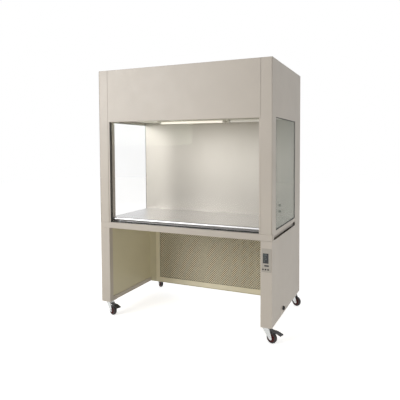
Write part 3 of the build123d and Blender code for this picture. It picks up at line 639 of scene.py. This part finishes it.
margin_in = screen_margin + max(reach_x, reach_y)
margin = ring_cell(
    "diffuser_margin",
    corners_of(screen_low.x, screen_high.x, screen_low.y, screen_high.y),
    corners_of(
        screen_low.x + margin_in,
        screen_high.x - margin_in,
        screen_low.y + margin_in,
        screen_high.y - margin_in,
    ),
    screen_high.z - screen_low.z + screen_skin,
    screen_paint_painted_glow,
)
margin.data.transform(Matrix.Translation((0, 0, screen_low.z - screen_skin)) @ lay_flat)
seat(margin, "cabinet", "screen_mesh")

# %% [markdown]
# ## Back panel screws
# Button head screws with a hexagon socket hold the two back panels. One screw is modelled, a
# point is set where each screw goes, and a small tree puts the screw on every point. The
# points come from the panels' own corners and one inset.


# %% Points tree
def on_points_tree(name):
    """Sets one object on every point of the host mesh, turned as its Turn input says."""
    tree, start, end = new_tree(
        name,
        (
            ("Cell", "NodeSocketObject"),
            ("Turn", "NodeSocketVector"),
            ("Finish", "NodeSocketMaterial"),
        ),
    )
    cell_info = step(tree, "GeometryNodeObjectInfo", [("Object", start.outputs["Cell"])])
    placed = step(
        tree,
        "GeometryNodeInstanceOnPoints",
        [
            ("Points", start.outputs["Geometry"]),
            ("Instance", cell_info.outputs["Geometry"]),
            ("Rotation", start.outputs["Turn"]),
        ],
    )
    whole = step(tree, "GeometryNodeRealizeInstances", [("Geometry", placed.outputs["Instances"])])
    paint_and_end(tree, start, end, whole.outputs["Geometry"])
    return tree


points_tree = on_points_tree("set_on_points")


# %% Turned shapes
def turned(name, profile, finish, sides=32, closed=False):
    """Turns (radius, height) points round Z; a zero radius closes the shape with a point."""
    points = []
    rings = []
    for radius, height in profile:
        if radius == 0.0:
            rings.append([len(points)] * sides)
            points.append((0.0, 0.0, height))
            continue
        rings.append([len(points) + i for i in range(sides)])
        for i in range(sides):
            angle = 2 * math.pi * i / sides
            points.append((radius * math.cos(angle), radius * math.sin(angle), height))
    faces = []
    pairs = list(zip(rings, rings[1:]))
    if closed:
        pairs.append((rings[-1], rings[0]))
    for lower, upper in pairs:
        for i in range(sides):
            j = (i + 1) % sides
            loop = []
            for v in (lower[i], lower[j], upper[j], upper[i]):
                if v not in loop:
                    loop.append(v)
            faces.append(tuple(loop))
    made = piece_from(name, points, faces, finish)
    face_outward(made)
    return made


def smooth_sides(made, limit=math.radians(40.0)):
    """Shades a turned piece smooth, but keeps edges sharper than the limit."""
    for face in made.data.polygons:
        face.use_smooth = True
    made.data.set_sharp_from_angle(angle=limit)


# %% Back screws
screw_radius = 0.0045
socket_radius = 0.0021
screw_inset = 0.015
screw_columns = 5
screw_low, screw_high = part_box("back_screws")
screw_height = screw_high.y - screw_low.y
rim_top = screw_height * 0.35
shoulder = (screw_radius * 0.85, screw_height * 0.8)
crown_radius = screw_radius * 0.6
socket_floor = screw_height * 0.4
screw = turned(
    "socket_screw",
    [
        (0.0, 0.0),
        (screw_radius, 0.0),
        (screw_radius, rim_top),
        shoulder,
        (crown_radius, screw_height),
        (socket_radius, screw_height),
        (socket_radius, socket_floor),
        (0.0, socket_floor),
    ],
    zinc_plate,
    12,
)
screw_places = []
for panel in ("lower_back_panel", "upper_back_panel"):
    panel_low, panel_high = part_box(panel)
    for level in (panel_low.z + screw_inset, panel_high.z - screw_inset):
        for column in range(screw_columns):
            across = column / (screw_columns - 1)
            first = screw_low.x + screw_radius
            last = screw_high.x - screw_radius
            screw_places.append((first + (last - first) * across, screw_low.y, level))
screws = run_tree(
    "back_socket_screws",
    points_tree,
    {"Cell": screw, "Turn": (-math.pi / 2, 0.0, 0.0), "Finish": zinc_plate},
    screw_places,
)
bpy.data.objects.remove(screw)
seat(screws, "cabinet", "zinc_steel", "back_screws")

# %% [markdown]
# ## Casters
# Each caster wheel is a black tread moulded onto a dark red centre with ribs, turning on a
# steel axle. Both parts are turned from a profile. The record of joints tells where each axle
# is and which way it points, so the same wheel is set four times by one matrix.

# %% Wheel sizes
wheel_radius = 0.03749
wheel_half = 0.012
tread_floor = 0.0265
hub_half = 0.0155
hub_radius = 0.0112
bore_radius = 0.00505
web_recess = 0.0075  # centre's web behind the tread's side
rim_recess = 0.002  # centre's rim behind the tread's side
edge_round = 0.001


def with_mirror(half):
    """Profile from its lower half, mirrored over the wheel's middle plane."""
    return half + [(radius, -height) for radius, height in reversed(half)]


# The tread's shoulder is rounded in three short steps.
tread_profile = with_mirror(
    [
        (tread_floor, -wheel_half + edge_round),
        (wheel_radius - 0.0075, -wheel_half),
        (wheel_radius - 0.0035, -wheel_half + 0.0012),
        (wheel_radius - 0.001, -wheel_half + 0.0036),
        (wheel_radius, -wheel_half + 0.0072),
    ]
)
centre_profile = with_mirror(
    [
        (bore_radius, -hub_half),
        (hub_radius - edge_round, -hub_half),
        (hub_radius, -hub_half + edge_round),
        (hub_radius + 0.002, -wheel_half + web_recess),
        (tread_floor - 0.004, -wheel_half + web_recess),
        (tread_floor - 0.001, -wheel_half + rim_recess),
        (tread_floor - 0.0002, -wheel_half + rim_recess),
    ]
)
rib_count = 8
rib_half_width = 0.0009
rib_recesses = (0.0078, 0.003)  # foot and top of a rib behind the tread's side
rib_inner = hub_radius + 0.0005
rib_outer = tread_floor - 0.0012
joints = {joint["name"]: joint for joint in frame["joints"]}


def place_on_axle(joint):
    """Matrix that takes a shape turned round Z to a joint's axle."""
    axis = Vector(joint["axis"]).normalized()
    turn = axis.to_track_quat("Z", "Y").to_matrix().to_4x4()
    return Matrix.Translation(Vector(joint["pos_m"])) @ turn


def box_corners(x0, x1, y0, y1, z0, z1):
    """Eight corners of a box: the lower four in a ring, then the upper four."""
    return [(x, y, z) for z in (z0, z1) for x, y in corners_of(x0, x1, y0, y1)]


def merge_boxes(made, boxes):
    """Adds closed boxes, each given as its eight corners, to a piece's mesh."""
    shape = bmesh.new()
    shape.from_mesh(made.data)
    for corners in boxes:
        v = [shape.verts.new(corner) for corner in corners]
        for a, b, c, d in (
            (0, 3, 2, 1),
            (4, 5, 6, 7),
            (0, 1, 5, 4),
            (1, 2, 6, 5),
            (2, 3, 7, 6),
            (3, 0, 4, 7),
        ):
            shape.faces.new((v[a], v[b], v[c], v[d]))
    shape.to_mesh(made.data)
    shape.free()
    face_outward(made)


# %% Wheels
ribs = []
for number in range(rib_count):
    turn = Matrix.Rotation(2 * math.pi * number / rib_count, 4, "Z")
    for side in (-1, 1):
        low, high = sorted(side * (wheel_half - recess) for recess in rib_recesses)
        box = box_corners(rib_inner, rib_outer, -rib_half_width, rib_half_width, low, high)
        ribs.append([turn @ Vector(corner) for corner in box])
for corner in ("front_left", "front_right", "rear_left", "rear_right"):
    place = place_on_axle(joints[corner + "_roll"])
    tread = turned(corner + "_tread", tread_profile, tread_rubber, 48, True)
    centre = turned(corner + "_wheel_centre", centre_profile, hub_plastic, 48, True)
    merge_boxes(centre, ribs)
    for made in (tread, centre):
        smooth_sides(made)
        made.data.transform(place)
        seat(made, corner + "_wheel_body", "wheel_rubber", corner + "_wheel")

# %% [markdown]
# ## Lamps
# The lamp tubes end in short metal caps that hold the glass. The caps are turned rings a hair
# wider than the tube, set at both ends of both tubes.

# %% Lamp caps
cap_length = 0.011
cap_skin = 0.0003  # cap's rim outside the tube
cap_wall = 0.002
cap_finish = zinc_sheet("lamp_cap_metal", screen_colour(206, 204, 198), 0.28, 0.03)
for tube in ("fluorescent_tube", "ultraviolet_tube"):
    tube_low, tube_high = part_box(tube)
    tube_radius = (tube_high.z - tube_low.z) / 2
    centre_y = (tube_low.y + tube_high.y) / 2
    centre_z = (tube_low.z + tube_high.z) / 2
    for number, (near, way) in enumerate(((tube_low.x, 1), (tube_high.x, -1))):
        cap = turned(
            tube + "_cap_" + str(number + 1),
            [
                (tube_radius - cap_wall, 0.0),
                (tube_radius - 0.0005, 0.0001),
                (tube_radius + cap_skin, 0.0015),
                (tube_radius + cap_skin, cap_length - 0.001),
                (tube_radius, cap_length),
                (tube_radius - cap_wall, cap_length),
            ],
            cap_finish,
            32,
            True,
        )
        smooth_sides(cap)
        cap.data.transform(
            Matrix.Translation((near, centre_y, centre_z)) @ Matrix.Rotation(way * math.pi / 2, 4, "Y")
        )
        seat(cap, "cabinet", "motor_metal")

# %% [markdown]
# ## Display
# The controller shows plain numbers on a dark window. Each digit is drawn from the seven bars
# of a counter, as thin raised bars a tenth of a millimetre proud, so no lettering or font is
# needed and the numbers stay sharp at any size.

# %% Seven bar digits
bars_of_digit = {
    "0": "abcdef",
    "1": "bc",
    "2": "abged",
    "3": "abgcd",
    "4": "fgbc",
    "5": "afgcd",
    "6": "afgedc",
    "7": "abc",
    "8": "abcdefg",
    "9": "abcdfg",
}
bar_ends = {
    "a": ((0, 2), (1, 2)),
    "b": ((1, 1), (1, 2)),
    "c": ((1, 0), (1, 1)),
    "d": ((0, 0), (1, 0)),
    "e": ((0, 0), (0, 1)),
    "f": ((0, 1), (0, 2)),
    "g": ((0, 1), (1, 1)),
}
digit_gap = 1.55  # in digit widths
bar_width = 0.13  # in digit heights
dot_back = 0.32  # decimal point behind the next digit, in digit widths
dot_shift = 0.05  # how far the next digit moves back after a point
digit_lift = 0.00012


def number_boxes(text, left, low, height, front_y):
    """Thin boxes for a number on a face that looks towards -Y."""
    boxes = []
    width = height / 2
    thick = height * bar_width / 2
    x = left
    for character in text:
        if character == ".":
            dot = x - width * dot_back
            spans = [(dot - thick, low - thick, dot + thick, low + thick)]
            x -= width * dot_shift
        else:
            spans = []
            for bar in bars_of_digit[character]:
                (x0, z0), (x1, z1) = bar_ends[bar]
                spans.append(
                    (
                        x + min(x0, x1) * width - thick,
                        low + min(z0, z1) * width - thick,
                        x + max(x0, x1) * width + thick,
                        low + max(z0, z1) * width + thick,
                    )
                )
            x += width * digit_gap
        for x0, z0, x1, z1 in spans:
            boxes.append(box_corners(x0, x1, front_y - digit_lift, front_y, z0, z1))
    return boxes


# %% Display rows
digit_finish = moulded("display_digit", screen_colour(104, 114, 110), 0.4, 900.0, 0.0, 0.03, 0.1)
window_low, window_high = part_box("display_windows")
rows = (("0.36", 0.0105), ("25.4", 0.0075), ("2408", 0.0075), ("60", 0.0075))
row_z = window_high.z - 0.004
row_gap = 0.0058
row_margin = 0.0045
boxes = []
for text, height in rows:
    row_z -= height
    boxes += number_boxes(text, window_low.x + row_margin, row_z, height, window_low.y)
    row_z -= row_gap
digits = piece_from("display_numbers", [], [], digit_finish)
merge_boxes(digits, boxes)
seat(digits, "cabinet", "panel_grey")

# %% [markdown]
# ## Cable gland
# The gland's cap is fluted so that fingers can tighten it, and a rubber ring inside grips the
# cable. The flutes are a turned cap whose radius goes up and down round the rim.

# %% Gland cap and ring
gland_low, gland_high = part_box("cable_gland")
gland_middle = (gland_low + gland_high) / 2
gland_centre = Vector((gland_high.x, gland_middle.y, gland_middle.z))
flute_count = 16
flute_share = 0.035  # depth of a flute as a share of the radius
cap_radius = 0.0134
cap_depth = 0.0062
cap_bore = 0.0073
cable_bore = 0.0061
flutes = turned(
    "gland_cap",
    [
        (cap_bore, 0.0),
        (cap_radius - 0.0022, 0.0),
        (cap_radius - 0.0006, -0.0014),
        (cap_radius, -cap_depth),
        (cap_radius - 0.004, -cap_depth),
        (cap_bore, -0.003),
    ],
    black_plastic,
    flute_count * 4,
    True,
)
for vertex in flutes.data.vertices:
    reach = math.hypot(vertex.co.x, vertex.co.y)
    if reach > cap_radius - 0.0015:
        angle = math.atan2(vertex.co.y, vertex.co.x)
        factor = 1.0 - flute_share * (0.5 + 0.5 * math.cos(flute_count * angle))
        vertex.co.x *= factor
        vertex.co.y *= factor
grip = turned(
    "gland_ring",
    [
        (cable_bore, -0.004),
        (cable_bore, -0.0004),
        (cable_bore + 0.0008, 0.0),
        (cable_bore + 0.0015, -0.0006),
        (cable_bore + 0.0015, -0.004),
    ],
    black_rubber,
    32,
    True,
)
for made, slot in ((flutes, "black_plastic"), (grip, "black_rubber")):
    smooth_sides(made, math.radians(50.0))
    made.data.transform(Matrix.Translation(gland_centre) @ Matrix.Rotation(math.pi / 2, 4, "Y"))
    seat(made, "cabinet", slot)

# %% [markdown]
# ## Brake pedals
# The pedal's plate has raised bars across it so that a shoe doesn't slip. They are thin boxes
# laid along the plate's slope, set by the same joint that the pedal turns on.

# %% Pedal bars
bar_count = 5
bar_first, bar_last = 0.077, 0.106  # reach from the swivel
bar_half = 0.0007
bar_sink, bar_rise = -0.0004, 0.0008
plate_half_width = 0.0165
plate_slope = -9.0 / 38.0
plate_bend = 0.074  # reach at which the plate starts to slope
plate_top = 0.001  # above the pin
for corner in ("front_left", "front_right"):
    pin = joints[corner + "_brake"]
    swivel = Vector(joints[corner + "_swivel"]["pos_m"])
    axle = Vector(joints[corner + "_roll"]["pos_m"])
    along = Vector((axle.x - swivel.x, axle.y - swivel.y, 0.0)).normalized()
    across = Vector((-along.y, along.x, 0.0))
    pin_height = pin["pos_m"][2]
    foot = Vector((swivel.x, swivel.y, 0.0))
    boxes = []
    for number in range(bar_count):
        reach = bar_first + (bar_last - bar_first) * number / (bar_count - 1)
        top_z = pin_height + plate_top + (reach - plate_bend) * plate_slope
        corners = []
        for lift in (bar_sink, bar_rise):
            for side, offset in ((-1, -1), (1, -1), (1, 1), (-1, 1)):
                corners.append(
                    foot
                    + along * (reach + offset * bar_half)
                    + across * side * plate_half_width
                    + Vector((0, 0, top_z + offset * bar_half * plate_slope + lift))
                )
        boxes.append(corners)
    bars = piece_from(corner + "_pedal_bars", [], [], pedal_black)
    merge_boxes(bars, boxes)
    seat(bars, corner + "_pedal", "black_plastic")

# %% [markdown]
# ## Sash tracks and window seals
# The sash runs in black channels whose front edge is folded in cream steel, so only their inner
# sides look black. A side pane is held by a rubber ring: its outer part is covered by a painted
# lip and a thin black line is left next to the glass. Both keep the solid's shape; the copy is
# only cut where the finish changes.


# %% Two finish copies
merge_distance = 1e-6


def loose_copy(node, suffix, *finishes):
    """Copy of a solid with its corners merged, as an object and an open bmesh."""
    made = bpy.data.objects.new(node + suffix, solids[node].data.copy())
    made.data.materials.clear()
    for finish in finishes:
        made.data.materials.append(finish)
    bpy.context.scene.collection.objects.link(made)
    shape = bmesh.new()
    shape.from_mesh(made.data)
    bmesh.ops.remove_doubles(shape, verts=shape.verts, dist=merge_distance)
    for face in shape.faces:
        face.material_index = 0
    return made, shape


forward = -0.9
for node in ("left_sash_track", "right_sash_track"):
    made, shape = loose_copy(node, "_channel", black_plastic, cream_paint)
    for face in shape.faces:
        if face.normal.y < forward:
            face.material_index = 1
    shape.to_mesh(made.data)
    shape.free()
    seat(made, "cabinet", "black_plastic", node)

seal_line = 0.0045
gasket_low, gasket_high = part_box("glass_gaskets")
ring_width = 0.012
made, shape = loose_copy("glass_gaskets", "_rings", black_rubber, cream_paint)
lip_width = ring_width - seal_line
cuts = (
    ((0, gasket_low.y + lip_width, 0), (0, 1, 0)),
    ((0, gasket_high.y - lip_width, 0), (0, 1, 0)),
    ((0, 0, gasket_low.z + lip_width), (0, 0, 1)),
    ((0, 0, gasket_high.z - lip_width), (0, 0, 1)),
)
for point, normal in cuts:
    bmesh.ops.bisect_plane(
        shape,
        geom=shape.verts[:] + shape.edges[:] + shape.faces[:],
        plane_co=point,
        plane_no=normal,
        dist=merge_distance,
    )
for face in shape.faces:
    middle = face.calc_center_median()
    inside_y = gasket_low.y + lip_width < middle.y < gasket_high.y - lip_width
    inside_z = gasket_low.z + lip_width < middle.z < gasket_high.z - lip_width
    if not (inside_y and inside_z):
        face.material_index = 1
shape.to_mesh(made.data)
shape.free()
seat(made, "cabinet", "black_rubber", "glass_gaskets")

# %% [markdown]
# Where the leg's inner panel meets the front of the plenum, a narrow angle strip closes the
# corner, folded from the same sheet.

# %% Corner strips
strip_thickness = 0.0012
strip_leg = 0.010
strip_reach = strip_leg * 1.4  # leg that lies on the plenum
strip_foot, strip_head = 0.001, 0.0005  # short of the panel's ends
plenum_low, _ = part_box("plenum_front")
for node, way in (("left_inner_panel", 1), ("right_inner_panel", -1)):
    panel_low, panel_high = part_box(node)
    face_x = panel_high.x if way > 0 else panel_low.x
    end_y = plenum_low.y
    outline = [
        (face_x, end_y - strip_leg),
        (face_x + way * strip_thickness, end_y - strip_leg),
        (face_x + way * strip_thickness, end_y - strip_thickness),
        (face_x + way * strip_reach, end_y - strip_thickness),
        (face_x + way * strip_reach, end_y),
        (face_x, end_y),
    ]
    low_z, high_z = panel_low.z + strip_foot, panel_high.z - strip_head
    points = [(x, y, z) for z in (low_z, high_z) for x, y in outline]
    sides = [(i, (i + 1) % 6, (i + 1) % 6 + 6, i + 6) for i in range(6)]
    caps = [(0, 1, 2, 5), (2, 3, 4, 5), (6, 7, 8, 11), (8, 9, 10, 11)]
    strip = piece_from(node + "_corner_strip", points, sides + caps, painted_bounce_inner_paint)
    face_outward(strip)
    seat(strip, "cabinet", "cream_paint")

# %% [markdown]
# ## Eased sheet edges
# A folded and coated sheet has no razor edge: the paint rounds it by half a millimetre, and
# that rim catches the light. Each solid comes as loose triangles, so a copy is merged, its flat
# parts are made whole again, and only its sharp edges are bevelled. The copy stands for the
# solid, which stays as it was for the physics.


# %% Eased copies
flat_angle = math.radians(0.5)
sharp_angle = math.radians(35.0)


def eased_copy(node, body, slot, width, finish):
    """Copy of a solid with its sharp edges bevelled, standing for that solid."""
    made, shape = loose_copy(node, "_sheet", finish)
    bmesh.ops.dissolve_limit(shape, angle_limit=flat_angle, verts=shape.verts, edges=shape.edges)
    sharp = []
    for edge in shape.edges:
        if len(edge.link_faces) == 2 and edge.calc_face_angle(0.0) > sharp_angle:
            sharp.append(edge)
    bmesh.ops.bevel(shape, geom=sharp, offset=width, segments=2, affect="EDGES", clamp_overlap=True)
    shape.to_mesh(made.data)
    shape.free()
    seat(made, body, slot, node)


for node, width, finish in (
    ("header_panel", 0.0005, cream_paint),
    ("left_post", 0.0006, cream_paint),
    ("right_post", 0.0006, cream_paint),
    ("left_leg_shell", 0.0005, cream_paint),
    ("right_leg_shell", 0.0005, cream_paint),
    ("top_cover", 0.0005, cream_paint),
    ("front_rail", 0.0006, cream_paint),
    ("left_side_panel", 0.0005, cream_paint),
    ("right_side_panel", 0.0005, cream_paint),
    ("lower_back_panel", 0.0005, cream_paint),
    ("upper_back_panel", 0.0005, cream_paint),
    ("grille_frame", 0.0006, painted_highlight_frame_paint),
    ("control_plate", 0.0004, panel_paint),
):
    slot = "panel_grey" if node == "control_plate" else "cream_paint"
    eased_copy(node, "cabinet", slot, width, finish)

# %% [markdown]
# ## Floor, backdrop and light
# A pale floor and a white world make a plain studio. Four softboxes light it: a strong
# key from the front left, a low one from the front right, a small one at the right side and one
# behind. Floor and world show white to the camera, to mirrors and through glass, but light the
# object more weakly, so metal looks bright without the shadows filling up.


# %% Rays that show the backdrop
def seen_rays(holder):
    """Factor of 1 for rays straight from the camera, from a mirror or through glass."""
    paths = put(holder, "ShaderNodeLightPath")
    factor = paths.outputs["Is Camera Ray"]
    for ray in ("Is Glossy Ray", "Is Transmission Ray"):
        most = put(holder, "ShaderNodeMath")
        most.operation = "MAXIMUM"
        wire(holder, factor, most.inputs[0])
        wire(holder, paths.outputs[ray], most.inputs[1])
        factor = most.outputs["Value"]
    return factor


# %% Floor
floor_reach = 12.0
floor_lift = 0.65
floor_finish, floor_shader, _ = bare_finish(
    "studio_floor", screen_colour(244, 243, 240), 0.9
)
floor_shader.inputs["Specular IOR Level"].default_value = 0.1
floor_shader.inputs["Emission Color"].default_value = (1.0, 1.0, 1.0, 1.0)
bounce_colour = screen_colour(206, 198, 176)
seen_colour = screen_colour(247, 246, 244)
wire(
    floor_finish,
    blend_colours(floor_finish, seen_rays(floor_finish), bounce_colour, seen_colour),
    floor_shader.inputs["Base Color"],
)
wire(
    floor_finish,
    spread(floor_finish, seen_rays(floor_finish), 0.0, floor_lift),
    floor_shader.inputs["Emission Strength"],
)
floor = piece_from(
    "studio_floor",
    [(x * floor_reach, y * floor_reach, 0.0) for x, y in ((-1, -1), (1, -1), (1, 1), (-1, 1))],
    [(0, 1, 2, 3)],
    floor_finish,
)

# %% World and softboxes
world = bpy.data.worlds.new("studio_world")
bpy.context.scene.world = world
world.use_nodes = True
sky = world.node_tree.nodes["Background"]
sky.inputs["Color"].default_value = (1.0, 1.0, 1.0, 1.0)
sky_level = 0.38
wire(world, spread(world, seen_rays(world), sky_level, 1.0), sky.inputs["Strength"])

softboxes = {
    "key_softbox": (98.0, 2.0, (-2.8, -3.8, 2.3), (0.0, 0.0, 0.9)),
    "low_softbox": (17.0, 1.6, (3.4, -3.8, 0.9), (0.0, 0.0, 0.7)),
    "side_softbox": (3.0, 0.9, (2.5, -0.9, 0.55), (0.7, 0.0, 0.5)),
    "back_softbox": (50.0, 2.4, (-1.4, 4.6, 3.4), (0.0, 0.0, 1.0)),
}
for name, (watts, size, place, aim) in softboxes.items():
    lamp = bpy.data.lights.new(name, "AREA")
    lamp.energy = watts
    lamp.size = size
    holder = bpy.data.objects.new(name, lamp)
    turn = (Vector(place) - Vector(aim)).to_track_quat("Z", "Y").to_matrix().to_4x4()
    holder.matrix_world = Matrix.Translation(place) @ turn
    holder.visible_camera = False
    bpy.context.scene.collection.objects.link(holder)
bpy.context.scene.view_settings.view_transform = "Standard"
print("softboxes:", len(softboxes))
